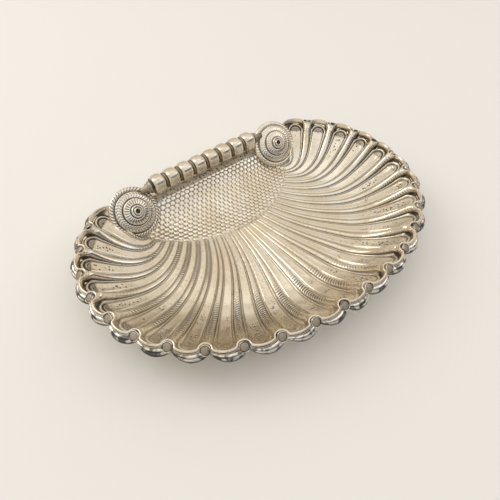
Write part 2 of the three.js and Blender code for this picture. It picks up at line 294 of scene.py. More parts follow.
def make_turned(name, net, replaced, material, film):
    """A piece from a turned net; film is its groove mask, for all of it or for each row."""
    make_piece(name, net, skin(*net.shape[:2], wrap_columns=True), [replaced], material,
               {"groove": np.broadcast_to(film, net.shape[:2])})


def rotate(net, first, second, angle):
    """Turns a net from its first axis toward its second."""
    a, b = net[..., first], net[..., second]
    turned = net.copy()
    turned[..., first] = a * math.cos(angle) - b * math.sin(angle)
    turned[..., second] = a * math.sin(angle) + b * math.cos(angle)
    return turned


# The rim line and the base surface, in the rim's own frame until to_frame

RIM_STEPS = 4001
VALLEY_POWER = 1.3
# Between an eye and the loop of the lip that runs round it
LOOP_GAP = 1.3 * MM


def rim_table():
    """Rim oval: x = w |cos a|^(2/n), y = d |sin a|^(2/n) with signs, a from end to end round the
    front."""
    s = bpy.context.scene.shell_sizes
    end = math.acos((s.end_half_width / s.half_width) ** (s.squareness / 2))
    angle = np.linspace(math.pi - end, 2 * math.pi + end, RIM_STEPS)
    power = 2 / s.squareness
    x = s.half_width * np.sign(np.cos(angle)) * np.abs(np.cos(angle)) ** power
    depth = np.where(np.sin(angle) < 0, s.front_depth, s.back_depth)
    y = depth * np.sign(np.sin(angle)) * np.abs(np.sin(angle)) ** power
    line = np.stack([x, y], axis=-1)
    return line, unit(np.gradient(line, axis=0)), run_along(line)


def rim_at(scallop):
    """Place and outward direction on the rim line. The valleys stand back from even steps by
    shift sin^2(pi (2 k / 25)^1.3), k counted from the nearer end."""
    s = bpy.context.scene.shell_sizes
    line, along, run = rim_table()
    within = np.clip(scallop, 0, SCALLOPS)
    from_end = 2 * np.minimum(within, SCALLOPS - within) / SCALLOPS
    wave = np.sin(math.pi * from_end ** VALLEY_POWER)
    shift = np.sign(SCALLOPS / 2 - within) * s.valley_shift * wave ** 2
    place = within / SCALLOPS * run[-1] - shift
    point = along_line(place, run, line)
    ahead = unit(along_line(place, run, along))
    return point, np.stack([ahead[..., 1], -ahead[..., 0]], axis=-1)


def rim_end_y():
    """Distance of the rim's ends behind the widest line."""
    return float(rim_at(np.array([SCALLOPS]))[0][0, 1])


def to_frame(points):
    """From the rim's own frame, with its origin on the widest line, to the CAD frame."""
    widest_line = BAR[1] - (rim_end_y() - BAR_BEFORE_ENDS)
    return points + np.array([0, widest_line, BAR[2] - BAR_ABOVE_RIM])


def scallop_pitch():
    """Length of rim line from one valley to the next."""
    return rim_table()[2][-1] / SCALLOPS


def lip_arc(scallop):
    """Each lip is a circle's arc over its chord: sqrt(R^2 - x^2) - (R - h), x from its middle."""
    s = bpy.context.scene.shell_sizes
    pitch = scallop_pitch()
    radius = (pitch ** 2 / 4 + s.lip_bulge ** 2) / (2 * s.lip_bulge)
    x = (np.mod(scallop, 1) - 0.5) * pitch
    arc = np.sqrt(radius ** 2 - x ** 2) - (radius - s.lip_bulge)
    return np.where((scallop < 0) | (scallop > SCALLOPS), 0, arc)


def lip_offset(scallop):
    """The lip arc, with a round loop inside each eye: offset - sqrt(r^2 - x^2), x from the
    valley."""
    t = bpy.context.scene.trim_sizes
    loop_radius = t.eye_radius + LOOP_GAP
    x = (0.5 - np.abs(np.mod(scallop, 1) - 0.5)) * scallop_pitch()
    loop = t.eye_offset - np.sqrt(np.maximum(loop_radius ** 2 - x ** 2, 0))
    has_eye = (scallop > 0.5) & (scallop < SCALLOPS - 0.5) & (x < loop_radius)
    arc = lip_arc(scallop)
    return np.where(has_eye, np.minimum(arc, loop), arc)


def bezier(control, at):
    """Cubic curve: (1-u)^3 A + 3(1-u)^2 u B + 3(1-u) u^2 C + u^3 D, for columns x places."""
    u = at[..., None]
    weights = [(1 - u) ** 3, 3 * (1 - u) ** 2 * u, 3 * (1 - u) * u ** 2, u ** 3]
    return sum(w * c[:, None, :] for w, c in zip(weights, control))


def flute_net(scallop, reach):
    """Base surface of the flutes. In plan each flute is a cubic curve, square to the field's arc
    and to the rim, walked in even lengths; its height is -drop (1 - (1 - i/r)^2) - fall i/m for
    the distance i inward from the rim. Gives plan, height and length for scallops x reaches."""
    s = bpy.context.scene.shell_sizes
    half_angle = math.asin(s.field_half_width / s.field_radius)
    angle = (2 * scallop / SCALLOPS - 1) * half_angle
    ray = np.stack([np.sin(angle), -np.cos(angle)], axis=-1)
    start = np.array([0, s.field_front + s.field_radius]) + s.field_radius * ray
    end, outward = rim_at(scallop)
    arm = s.flute_arm * np.linalg.norm(end - start, axis=1, keepdims=True)
    control = [start, start + ray * arm, end - outward * arm, end]
    fine = np.linspace(0, 1, 65)
    run = run_along(bezier(control, np.tile(fine, (len(scallop), 1))))
    length = run[:, -1:]
    # All flutes in one call, each in a lane of its own two units wide
    lane = 2 * np.arange(len(scallop))[:, None]
    at = np.interp((reach + lane).ravel(), (run / length + lane).ravel(),
                   np.tile(fine, len(scallop)))
    plan = bezier(control, at.reshape(len(scallop), -1))
    inward = length * (1 - reach)
    wall = s.wall_share * np.linalg.norm(end, axis=1)[:, None]
    left = 1 - np.minimum(inward / wall, 1)
    middle = s.front_depth + s.field_front
    height = -s.wall_drop * (1 - left ** 2) - s.floor_fall * inward / middle
    return plan, height, length


def field_net(share, depth):
    """Base surface of the scale field: from the front arc straight to the back edge in plan, its
    height rising with depth ** sweep."""
    s = bpy.context.scene.shell_sizes
    plan, height, _ = flute_net(share * SCALLOPS, np.array([0.0]))
    back_x = mix(-s.back_half_width, s.back_half_width, share)[:, None]
    x = mix(plan[:, :1, 0], back_x, depth)
    y = mix(plan[:, :1, 1], rim_end_y() - s.back_inset, depth)
    z = mix(height, -s.back_top, depth ** s.field_sweep)
    return np.stack([x, y, z], axis=-1)


def net_normals(net):
    """Cross product of the steps along both ways of a net, turned upwards."""
    normal = np.cross(np.gradient(net, axis=0), np.gradient(net, axis=1))
    normal *= np.sign(normal[..., 2:] + 1e-15)
    flat = np.linalg.norm(normal, axis=-1, keepdims=True) < 1e-14
    return unit(np.where(flat, [0.0, 0.0, 1.0], normal))


# Materials. The patterns' scales are in cycles to the metre

CLOUDS, FRECKLES, REFLECTION_PATCHES, DENTS = 40.0, 420.0, 160.0, 230.0
PECKS, PECK_PATCHES = 400.0, 60.0
MOST_FILM = 0.93
PUNCHED_MASKS = ("along", "across", "hatch", "dots", "pecks")
PUNCH_DEPTH = 0.3 * MM
# Spacing of the punched strokes and dots and slant of the strokes, in millimetres
STROKE_STEP, DOT_STEP, STROKE_SLANT = 2.8, 2.0, 6.0


def add_node(tree, kind, inputs=(), output=0, **settings):
    """Adds one shader node with its settings and gives one of its outputs. The inputs are in order, or
    by name or number in a dict; each is another node's output or a constant."""
    node = tree.nodes.new("ShaderNode" + kind)
    for key, value in settings.items():
        setattr(node, key, value)
    for key, value in (inputs if isinstance(inputs, dict) else dict(enumerate(inputs))).items():
        if isinstance(value, bpy.types.NodeSocket):
            tree.links.new(value, node.inputs[key])
        else:
            node.inputs[key].default_value = value
    return node.outputs[output] if node.outputs else node


def silver_plate(name, tarnish_and_shade=(), roughness=(0.22, 0.36), punched=False, patchiness=0.5, cream=0.5,
                 uneven=0.12 * MM, reflection_patches=0.0):
    """Electroplated silver on brass, hand polished: bright where the cloth reaches, cream with age
    elsewhere, and dark with a film in the grooves, brown, or blue-black where the mask cool is 1. The
    film is tarnish, and in some masks painted shade; the blue-black is painted shade and reflection. The
    first argument pairs masks with weights, uneven is the depth of planishing in metres, and the last
    argument is the strength of painted blue-black reflections in patches about 6 mm across."""
    c = bpy.context.scene.plate_colours
    material = bpy.data.materials.new(name)
    material.use_nodes = True
    material.node_tree.nodes.clear()
    node = functools.partial(add_node, material.node_tree)
    place = node("TexCoord", output="Object")
    keys = dict.fromkeys(("matt", "cool", *dict(tarnish_and_shade), *(PUNCHED_MASKS if punched else ())))
    mask = {key: node("Attribute", output="Fac", attribute_name=key) for key in keys}
    # Clouds of cream about 25 mm across, and tarnish freckles about 2 mm across
    clouds = node("TexNoise", {"Vector": place, "Scale": CLOUDS, "Detail": 4.0})
    cloud = node("MapRange", (clouds, 0.35, 0.65, cream - patchiness / 2, cream + patchiness / 2))
    creamy = node("Math", (mask["matt"], 0.6, cloud), operation="MULTIPLY_ADD")
    plate = node("Mix", {0: creamy, 6: (*c.silver, 1), 7: (*c.worn, 1)}, 2, data_type="RGBA")
    freckles = node("TexNoise", {"Vector": place, "Scale": FRECKLES, "Detail": 3.0})
    film = node("MapRange", (freckles, 0.58, 0.78, 0.0, 0.4))
    for key, weight in tarnish_and_shade:
        film = node("Math", (mask[key], weight, film), operation="MULTIPLY_ADD")
    # Painted blue-black reflections in patches about 6 mm across
    if reflection_patches:
        spots = node("TexNoise", {"Vector": place, "Scale": REFLECTION_PATCHES, "Detail": 2.0})
        spot = node("MapRange", (spots, 0.48, 0.6))
        spot = node("Math", (spot, mask["cool"]), operation="MULTIPLY")
        film = node("Math", (spot, reflection_patches, film), operation="MULTIPLY_ADD")
    if punched:
        marks = punched_marks(node, mask, place)
        film = node("Math", (marks, 0.8, film), operation="MULTIPLY_ADD")
    film = node("Math", (film, MOST_FILM), operation="MINIMUM")
    tint = node("Mix", {0: mask["cool"], 6: (*c.tarnish_and_shade, 1), 7: (*c.blue_black_shade, 1)}, 2, data_type="RGBA")
    colour = node("Mix", {0: film, 6: plate, 7: tint}, 2, data_type="RGBA")
    rough = node("MapRange", (clouds, 0.3, 0.7, *roughness))
    rough = node("Math", (film, 0.25, rough), operation="MULTIPLY_ADD")
    rough = node("Math", (mask["matt"], 0.35, rough), operation="MULTIPLY_ADD")
    # Planishing and wear: unevenness about 4 mm across that breaks up the reflections
    dents = node("TexNoise", {"Vector": place, "Scale": DENTS, "Detail": 2.0})
    bump = node("Bump", {"Height": dents, "Strength": 1.0, "Distance": uneven})
    if punched:
        bump = node("Bump", {"Height": marks, "Normal": bump, "Strength": 1.0, "Distance": PUNCH_DEPTH},
                    invert=True)
    shader = node("BsdfPrincipled", {"Metallic": 1.0, "Base Color": colour, "Roughness": rough,
                                     "Normal": bump})
    node("OutputMaterial", (shader,))
    return material


def punched_marks(node, mask, place):
    """Depth of the chaser's punch marks: slanting strokes on the ridges, dots along the ridges' edges,
    and pecks in patches on the panels, drawn as coarse as 1.5 mm so that they show."""
    slant = node("Math", (mask["across"], STROKE_SLANT, mask["along"]), operation="MULTIPLY_ADD")
    rows = []
    for at, step, key in ((slant, STROKE_STEP, "hatch"), (mask["along"], DOT_STEP, "dots")):
        wave = node("Math", (at, 2 * math.pi / step), operation="MULTIPLY")
        wave = node("Math", (wave,), operation="SINE")
        wave = node("Math", (wave, 0.0), operation="MAXIMUM")
        rows.append(node("Math", (wave, mask[key]), operation="MULTIPLY"))
    strokes = node("Math", (rows[0], 1.5), operation="MULTIPLY")
    cells = node("TexVoronoi", {"Vector": place, "Scale": PECKS}, "Distance")
    peck = node("MapRange", (cells, 0.4, 0.25))
    patches = node("TexNoise", {"Vector": place, "Scale": PECK_PATCHES, "Detail": 1.0})
    patch = node("MapRange", (patches, 0.47, 0.54))
    patch = node("Math", (patch, mask["matt"]), operation="MAXIMUM")
    pecks = node("Math", (peck, patch), operation="MULTIPLY")
    pecks = node("Math", (pecks, mask["pecks"]), operation="MULTIPLY")
    marks = node("Math", (strokes, rows[1]), operation="MAXIMUM")
    return node("Math", (marks, pecks), operation="MAXIMUM")


# The fan of flutes

# Columns of one half flute, from the ridge's crown to the panel's middle, as shares of the pitch
HALF_FLUTE = np.array([0, .04, .08, .12, .145, .16, .175, .19, .205, .22, .235, .25, .265, .285,
                       .31, .35, .40, .45])
FACE_ROWS = 76
UNDER_ROWS = 13
ROLL_ANGLES = np.radians([122, 100, 78, 54, 30, 6, -18, -42, -66])
ROLL_OUT = 0.5 * MM
WEB_COLUMNS = 10
# Section of half a flute. Places are shares of the pitch from the crown: ridge, groove, wire,
# groove and panel; heights are shares of the ridge's height
RIDGE_END, RIDGE_GROOVE, WIRE, PANEL_GROOVE, PANEL_EDGE = 0.165, 0.17, 0.215, 0.256, (0.262, 0.30)
WIRE_WIDTH, GROOVE_WIDTH, LEAST_GROOVE, DISH_HALF = 0.024, 0.016, 0.2 * MM, 0.2
WIRE_HEIGHT, PANEL_HEIGHT, DISH_HEIGHT = 0.42, 0.26, 0.06
SEAT_DEPTH, GROOVE_DEPTH, COVE_DEPTH = 0.16, 0.14, 0.28
WEB_SLOPE = 1.6
LIP_HEIGHT = 1.0 * MM
# Scallops, counted from the left: worn smooth from and to, hatched up to, dotted from
WORN_FROM, WORN_TO, HATCHED_TO, DOTTED_FROM = (3.5, 6), (12, 15), (6.5, 8.5), (15, 18)
# Parts of a flute's length that are hatched, at the left and at the front
HATCH_LEFT, HATCH_FRONT = ((0.01, 0.05), (0.3, 0.5)), ((0.5, 0.7), (0.86, 0.93))
# Lines chased round the panels' ends, and their width
RINGS, RING_WIDTH = (0.32, 0.39), 0.014


def flute_columns():
    """Scallop numbers of the fan's columns; below 0 and above 25 they cross the corner webs."""
    half = np.concatenate([HALF_FLUTE, 1 - HALF_FLUTE[:0:-1], [0.5]])
    fan = (np.arange(SCALLOPS)[:, None] + np.sort(half)[None, :]).ravel()
    web = np.linspace(0, 1, WEB_COLUMNS + 1)[1:]
    return np.concatenate([-web[::-1], fan, [SCALLOPS], SCALLOPS + web])


def fan_base(column, reach):
    """Base of the fan with its corner webs, which are straight between the outermost flute and
    the side of the scale field. Gives the net, the lengths of its flutes and the outward
    directions."""
    inside = np.clip(column, 0, SCALLOPS)
    plan, height, length = flute_net(inside, reach)
    net = np.concatenate([plan, height[..., None]], axis=-1)
    # The web's rows close up toward the back, where the field's side rises
    depth = (1 - (1 - reach) ** (1 / 1.4)) ** 0.75
    side = field_net(inside / SCALLOPS, depth)
    web = np.abs(column - inside)[:, None, None]
    _, outward = rim_at(inside)
    return mix(net, side, web), length, outward


def painted_panel_shadow(q, inside, inward, beyond):
    """Painted shadow on the panels' ends: sharply bounded at the back and sides, faint and soft in front,
    and thin on two lines chased round each end, so that these show as painted highlights."""
    side = smoothstep(np.abs(inside - SCALLOPS / 2), 5.0, 8.5)[:, None]
    sharp = 1 - smoothstep(inward, 4.0 * MM, 5.0 * MM)
    soft = 1 - smoothstep(inward, 5 * MM, 26 * MM)
    film = smoothstep(q, 0.24, 0.27) * mix(0.2 * soft, sharp, side)
    rings = sum(bell(q, ring, RING_WIDTH) for ring in RINGS)
    return film * (1 - 0.7 * rings * smoothstep(beyond, 0, 3 * MM))


def punched_work(q, inside, reach, front):
    """Where the punches went: hatched ridges, dotted ridge edges and pecked panels."""
    ridge = 1 - smoothstep(q, 0.10, 0.15)
    left = 1 - smoothstep(inside, *HATCHED_TO)[:, None]
    hatch = ridge * np.maximum(left * plateau(reach, *HATCH_LEFT), front * plateau(reach, *HATCH_FRONT))
    edge_line = bell(q, 0.115, 0.03) * smoothstep(inside, *DOTTED_FROM)[:, None]
    pecks = smoothstep(q, 0.33, 0.4) * smoothstep(reach, 0.6, 0.75)
    return hatch, edge_line * smoothstep(reach, 0.8, 0.9), pecks


def flute_relief(column, reach, base, length, spread):
    """Chased section of the flutes. q is the share of the pitch from the ridge's crown; inside each lip
    it follows circles about the flute's end, so wire and panel close in round arches. The lift is a
    quarter ellipse for the ridge, a bell for the wire, a step for the panel and a hollow for the cove
    under the lip, all growing outward; bells cut the grooves, and the lip's band is a quarter ellipse.
    Gives the lift and the masks of the finish."""
    s = bpy.context.scene.shell_sizes
    inside = np.clip(column, 0, SCALLOPS)
    pitch = np.linalg.norm(np.gradient(base[..., :2], column, axis=0), axis=-1)
    centre = np.minimum(np.floor(inside), SCALLOPS - 1) + 0.5
    lateral = np.abs(inside - centre)[:, None] * pitch
    inward = length * (1 - reach) - spread
    from_lip = inward + lip_offset(column)[:, None]
    beyond = np.maximum(s.arch_depth - inward, 0)
    web = np.abs(column - inside)[:, None]
    on_fan = web == 0
    q = np.clip(0.5 - np.hypot(lateral, beyond) / np.maximum(pitch, 0.01 * MM), 0, 0.5)
    q = np.where(on_fan, q, np.minimum(WEB_SLOPE * web, RIDGE_END))
    lip_width = s.lip_band * mix(0.5, 1, lip_arc(column) / s.lip_bulge)[:, None]
    off_lip = smoothstep(from_lip, 0.9 * lip_width, 1.25 * lip_width)
    # Ridge, wire and panel
    crown = np.sqrt(np.maximum(1 - (q / RIDGE_END) ** 2, 0))
    crown = crown * smoothstep(inward, -2 * MM, 5 * MM)
    wire = bell(q, WIRE, WIRE_WIDTH) * on_fan
    panel = smoothstep(q, *PANEL_EDGE)
    dish = ((q - 0.5) / DISH_HALF) ** 2 * panel
    # Grooves, never thinner than a punch makes them, and the cove between the arch and the lip
    width = np.hypot(GROOVE_WIDTH, LEAST_GROOVE / np.maximum(pitch, 4 * MM))
    groove = bell(q, RIDGE_GROOVE, 1.35 * width) + 0.9 * bell(q, PANEL_GROOVE, width)
    front = plateau(inside, WORN_FROM, WORN_TO)[:, None]
    worn = 1 - front * (1 - smoothstep(inward, 6 * MM, 26 * MM))
    # The grooves' film is tarnish and painted shade: the weight by reach makes them deeper and darker
    # toward the rim, the extra darkness being painted shade beside the higher ridges
    groove = np.clip(groove, 0, 1) * off_lip * mix(0.55, 1, reach) * mix(0.3, 1, worn)
    groove = groove * (1 - 0.2 * front)
    cove = (1 - smoothstep(q, 0.16, 0.185)) * (1 - smoothstep(inward, -1 * MM, 3 * MM)) * off_lip
    cove = cove * mix(0.35, 1, worn)
    # The lift, flattened where worn, down to the lip and up again over its band
    rise = mix(s.ridge_at_field, s.ridge_at_rim, reach) * smoothstep(reach, 0, 0.03)
    lift = (crown + WIRE_HEIGHT * wire + PANEL_HEIGHT * panel + DISH_HEIGHT * dish - SEAT_DEPTH
            - GROOVE_DEPTH * groove - COVE_DEPTH * cove)
    lift = rise * lift * mix(0.65, 1, worn)
    lift = lift * smoothstep(from_lip, 0, 1.2 * lip_width)
    band = np.sqrt(np.clip(1 - (from_lip / lip_width) ** 2, 0, 1))
    lift = lift + LIP_HEIGHT * band * on_fan
    # Painted shadow on the panels' ends
    panel_end_shadow = painted_panel_shadow(q, inside, inward, beyond)
    hatch, dots, pecks = punched_work(q, inside, reach, front)
    masks = {
        "groove": groove,
        "cove": cove,
        "panel_end_shadow": panel_end_shadow,
        "hatch": hatch,
        "dots": dots * (1 - cove) * off_lip,
        "pecks": pecks * (1 - panel_end_shadow) * off_lip,
        "matt": 0.25 * (1 - off_lip),
    }
    return lift, masks


def fan_parts(column, reach):
    """Base net, lift over it, move out into the lips, masks and lengths of the flutes."""
    base, length, outward = fan_base(column, reach)
    spread = lip_offset(column)[:, None] * smoothstep(reach, 0.7, 1)
    lift, masks = flute_relief(column, reach, base, length, spread)
    outward = np.concatenate([outward, np.zeros((len(column), 1))], axis=1)[:, None, :]
    return base, lift, spread[..., None] * outward, masks, length


def fan_arrays():
    """The fan's net and masks: upper face from the field to the lip, the lip's rolled edge, and
    the under face back to the field."""
    s = bpy.context.scene.shell_sizes
    column = flute_columns()
    # Rows close up toward the lip, and one more stands by the field's edge
    reach = np.insert(1 - (1 - np.linspace(0, 1, FACE_ROWS - 1)) ** 2, 1, 0.0006)
    base, lift, move, masks, length = fan_parts(column, reach)
    face = base + lift[..., None] * net_normals(base) + move

    lip = face[:, -1].copy()
    face[:, -1] = mix(face[:, -2], face[:, -1], 0.3)
    ahead = unit(np.gradient(lip[:, :2], axis=0))
    side = np.stack([ahead[:, 1], -ahead[:, 0], np.zeros(len(column))], axis=-1)[:, None, :]
    across = (ROLL_OUT + s.lip_roll * np.cos(ROLL_ANGLES))[None, :, None]
    up = s.lip_roll * np.sin(ROLL_ANGLES)[None, :, None]
    roll = lip[:, None, :] + across * side + up * np.array([0, 0, 1.0])

    low_reach = 1 - np.linspace(0, 1, UNDER_ROWS) ** 2
    base, lift, move = fan_parts(column, low_reach)[:3]
    lift = mix(lift, 0, smoothstep(low_reach, 0.94, 0.99)) - s.sheet
    under = base + lift[..., None] * net_normals(base) + move

    # The edge and the under face carry no mask but those held on from the lip
    held = {
        "matt": masks.pop("matt"),
        "along": length * reach / MM,
        "across": np.mod(column + 0.5, 1)[:, None] * np.ones_like(reach),
    }
    pad = ((0, 0), (0, len(ROLL_ANGLES) + UNDER_ROWS))
    values = {name: np.pad(mask, pad) for name, mask in masks.items()}
    values.update((name, np.pad(mask, pad, mode="edge")) for name, mask in held.items())
    return np.concatenate([face, roll, under], axis=1), values


class SHELL_OT_fan(bpy.types.Operator):
    """Builds the chased fan of flutes with its rolled lip"""
    bl_idname = "shell_dish.fan"
    bl_label = "Fluted fan"

    def execute(self, context):
        net, values = fan_arrays()
        faces = closed_sheet(net, FACE_ROWS + len(ROLL_ANGLES))
        # Chased and burnished by hand: bright ridges beside dark grooves, and a painted shadow on the
        # panels' ends
        material = silver_plate("chased_silver_plate",
                                [("groove", 1.0), ("cove", 0.9), ("panel_end_shadow", 0.8)],
                                roughness=(0.1, 0.23), punched=True)
        make_piece("shell_fan", to_frame(net), faces, ["shell_bowl"], material,
                   values)
        return {"FINISHED"}


# The scale field

FIELD_COLUMNS = 360
FIELD_ROWS = 144
FIELD_UNDER = 15
# The sheet's edge under the beads, out and down in millimetres: level, then back on itself
LEDGE = [(0.8, 0), (2.4, -0.1), (4.2, -0.1), (4.6, -0.5), (4.2, -0.9), (1.6, -0.9)]
# A scale: power of its outline, its reach in rows, power of its dome and slope toward the back
SCALE_POWER, SCALE_REACH, DOME_POWER, SCALE_SLOPE = 2.6, 0.64, 0.55, 0.4


def scale_domes(x, row):
    """Domes of the scales, for the distance x along the bar and the number of rows. Every other row is
    shifted by half a scale. With u and v the distance from a scale's middle in scale widths and rows, a
    dome is 1 - |2u|^2.6 - |v / 0.64|^2.6, and the higher of two rows shows. Gives the dome, and the x and
    row of its middle."""
    pitch = bpy.context.scene.trim_sizes.scale_pitch
    dome, mid_x, mid_row = np.zeros_like(row), np.zeros_like(row), np.zeros_like(row)
    for number in (np.floor(row), np.floor(row) + 1):
        shift = 0.5 * np.mod(number, 2)
        u = x / pitch + shift
        high = (1 - np.abs(2 * (u - np.round(u))) ** SCALE_POWER
                - np.abs((row - number) / SCALE_REACH) ** SCALE_POWER)
        wins = high > dome
        dome = np.where(wins, high, dome)
        mid_x = np.where(wins, (np.round(u) - shift) * pitch, mid_x)
        mid_row = np.where(wins, number, mid_row)
    return dome, mid_x, mid_row


def field_arrays():
    """The field's net and masks: upper face from the front arc to the plain strip, the level ledge
    behind it, and the under face. A scale's height is its dome^0.55 (1 + 0.4 v), v its rows from its
    middle."""
    s = bpy.context.scene.shell_sizes
    t = bpy.context.scene.trim_sizes
    share = np.linspace(0, 1, FIELD_COLUMNS + 1)
    depth = np.insert(np.linspace(0, 1, FIELD_ROWS), 1, 0.0008)
    base = field_net(share, depth)
    run = run_along(base[..., 1:])
    total = run[:, -1]
    back = total[:, None] - run - t.strip_height
    row = back / t.scale_row
    dome, mid_x, mid_row = scale_domes(base[..., 0], row)
    pillow = dome ** DOME_POWER
    # Only whole scales: none reaches over the field's front, its sides or the plain strip
    half_angle = math.asin(s.field_half_width / s.field_radius)
    mid_share = np.arcsin(np.clip(mid_x / s.field_radius, -0.8, 0.8)) / half_angle / 2 + 0.5
    mid_back = mid_row * t.scale_row
    room = np.interp(mid_share, share, total) - t.strip_height - mid_back
    there = smoothstep(room, 1.2 * MM, 2.0 * MM) * smoothstep(mid_back, 0, 1 * MM)
    there = there * smoothstep(0.5 - np.abs(share - 0.5), 0.0, 0.012)[:, None]
    lift = t.scale_height * pillow * (1 + SCALE_SLOPE * (row - mid_row)) * there
    face = base + lift[..., None] * net_normals(base)
    low = field_net(share, np.linspace(1, 0, FIELD_UNDER + 1))
    under = low - s.sheet * net_normals(low)
    out, down = (np.array(LEDGE) * MM).T
    ledge = face[:, -1:] + np.stack([0 * out, out, down], axis=-1)[None]
    net = np.concatenate([face, ledge, under], axis=1)
    strip = 1 - smoothstep(back, -0.5 * MM, 0.8 * MM)
    # The rows nearest the strip carry painted shade and reflection: their film is widest and blue-black
    film_and_shade_edge = mix(0.92, 0.72, smoothstep(back, 5 * MM, 16 * MM))
    masks = {
        "groove": (1 - smoothstep(pillow, 0.1, film_and_shade_edge)) * (1 - strip),
        "matt": strip,
        "pecks": 0.7 * strip,
        "cool": (1 - smoothstep(back, 6 * MM, 22 * MM)) * (1 - strip),
    }
    pad = ((0, 0), (0, len(LEDGE) + FIELD_UNDER + 1))
    return net, {name: np.pad(mask, pad) for name, mask in masks.items()}


class SHELL_OT_field(bpy.types.Operator):
    """Builds the half-moon field of scales and the plain strip behind it"""
    bl_idname = "shell_dish.field"
    bl_label = "Scale field"

    def execute(self, context):
        net, values = field_arrays()
        faces = closed_sheet(net, FIELD_ROWS + 1 + len(LEDGE))
        # Punched in rows: each scale shines, with film between them
        material = silver_plate("scaled_silver_plate", [("groove", 0.95), ("matt", 0.18)],
                                roughness=(0.16, 0.28), punched=True)
        make_piece("scale_field", to_frame(net), faces, ["shell_bowl"], material,
                   values)
        return {"FINISHED"}


# The rim scrolls and their eyes

# Section of a scroll, by angle from its top: its face with a hollow along it, its inner wall
BAND_FACE = np.radians([0, 10, 20, 28, 34, 40, 46, 52, 58, 66, 76, 88, 98, 108])
BAND_INNER = np.radians([104, 84, 64, 44, 24, 4])
HOLLOW_ANGLE, HOLLOW_WIDTH, HOLLOW_DEPTH = math.radians(43), math.radians(9), 0.13
# Film round that section: some tarnish in the hollow, and painted shade, full, under it and behind it
BAND_FILM_AND_SHADE = np.array([0.1, 0, 0, 0, 0.3, 0.8, 0.8, 0.3, 0, 0.25, 0.7, 0.9, 1, 1, 1, 1, 1, 1, 1, 1])
BAND_OUT, BAND_DOWN = 1.7 * MM, 1.0 * MM
# Ends of a scroll from its scallop's middle, in scallops
POINT_REACH, EYE_REACH = 0.41, 0.455
# Half section of an eye as shares of its radius, with its film and its matt part: a rim, a ring groove
# and a flat disc. The film on its back and outer wall is painted shade.
EYE_PROFILE = np.array([(0, -0.9), (0.9, -0.9), (1.0, -0.6), (1.0, -0.12), (1.0, 0.02),
                        (0.97, 0.12), (0.89, 0.12), (0.87, 0.02), (0.85, -0.12), (0.8, -0.12),
                        (0.78, 0.02), (0.74, 0.06), (0, 0.06)])
EYE_FILM_AND_SHADE = np.array([0.5, 0.5, 0.5, 0.6, 0.3, 0, 0, 0.6, 1, 1, 0.8, 0.5, 0.5])
EYE_MATT = np.array([0, 0, 0, 0, 0, 0, 0, 0, 1, 1, 1, 1, 1])
EYE_LEAN = math.radians(40)
EYE_RISE = 0.3 * MM


def band_section(taper):
    """Section of a rim scroll: an ellipse's quarter from its top out and down, cut by the hollow
    1 - d exp(-((a - m) / w)^2), then back along its inner wall. Gives outward and up distances
    for tapers x points."""
    t = bpy.context.scene.trim_sizes
    scale = taper[:, None]
    face = 1 - HOLLOW_DEPTH * bell(BAND_FACE, HOLLOW_ANGLE, HOLLOW_WIDTH)
    out = np.concatenate([t.band_reach * face * np.sin(BAND_FACE),
                          (t.band_reach - t.band_wall) * np.sin(BAND_INNER)])
    drop = t.band_drop
    up = np.concatenate([-drop * (1 - face * np.cos(BAND_FACE)),
                         -drop + (drop - t.band_wall) * np.cos(BAND_INNER)])
    return BAND_OUT + scale * out, -BAND_DOWN + scale * up


def scroll_net(scallop):
    """One rim scroll: its section carried along the lip, thin at its point, full in the middle
    and rolled in at its eye. Both ends close in a point. Gives the net and the side of the eye,
    which is 0 for the middle scroll, pointed at both ends."""
    tail = int(np.sign(SCALLOPS // 2 - scallop))
    along = np.linspace(0, 1, 30)
    ends = mix(-POINT_REACH, EYE_REACH if tail else POINT_REACH, along)
    place = scallop + 0.5 + (tail or 1) * ends
    point_end = smoothstep(along, -0.25, 0.72 if tail else 0.4)
    eye_end = 1 - 0.15 * smoothstep(along, 0.85, 1.02) if tail else point_end[::-1]
    out, up = band_section(np.minimum(point_end, eye_end))
    step = 0.01
    points = [rim_at(place + d)[0] + lip_arc(place + d)[:, None] * rim_at(place + d)[1]
              for d in (-step, 0, step)]
    ahead = unit(points[2] - points[0])
    side = np.stack([ahead[:, 1], -ahead[:, 0]], axis=-1)
    plan = points[1][:, None, :] + out[..., None] * side[:, None, :]
    net = np.concatenate([plan, up[..., None]], axis=-1)
    caps = [np.broadcast_to(net[i].mean(axis=0), net[:1].shape) for i in (0, -1)]
    return np.concatenate([caps[0], net, caps[1]]), tail


def eye_net(valley):
    """The eye in a valley: a low turned boss with a raised ring, leaning outward."""
    t = bpy.context.scene.trim_sizes
    net = turned_net(EYE_PROFILE * t.eye_radius, 32)
    place, outward = (v[0] for v in rim_at(np.array([float(valley)])))
    out3 = np.array([*outward, 0.0])
    axis = math.sin(EYE_LEAN) * out3 + np.array([0, 0, math.cos(EYE_LEAN)])
    level = np.array([-outward[1], outward[0], 0.0])
    across = np.cross(level, axis)
    centre = np.array([*(place + t.eye_offset * outward), EYE_RISE])
    return centre + net[..., :1] * across + net[..., 1:2] * level + net[..., 2:] * axis


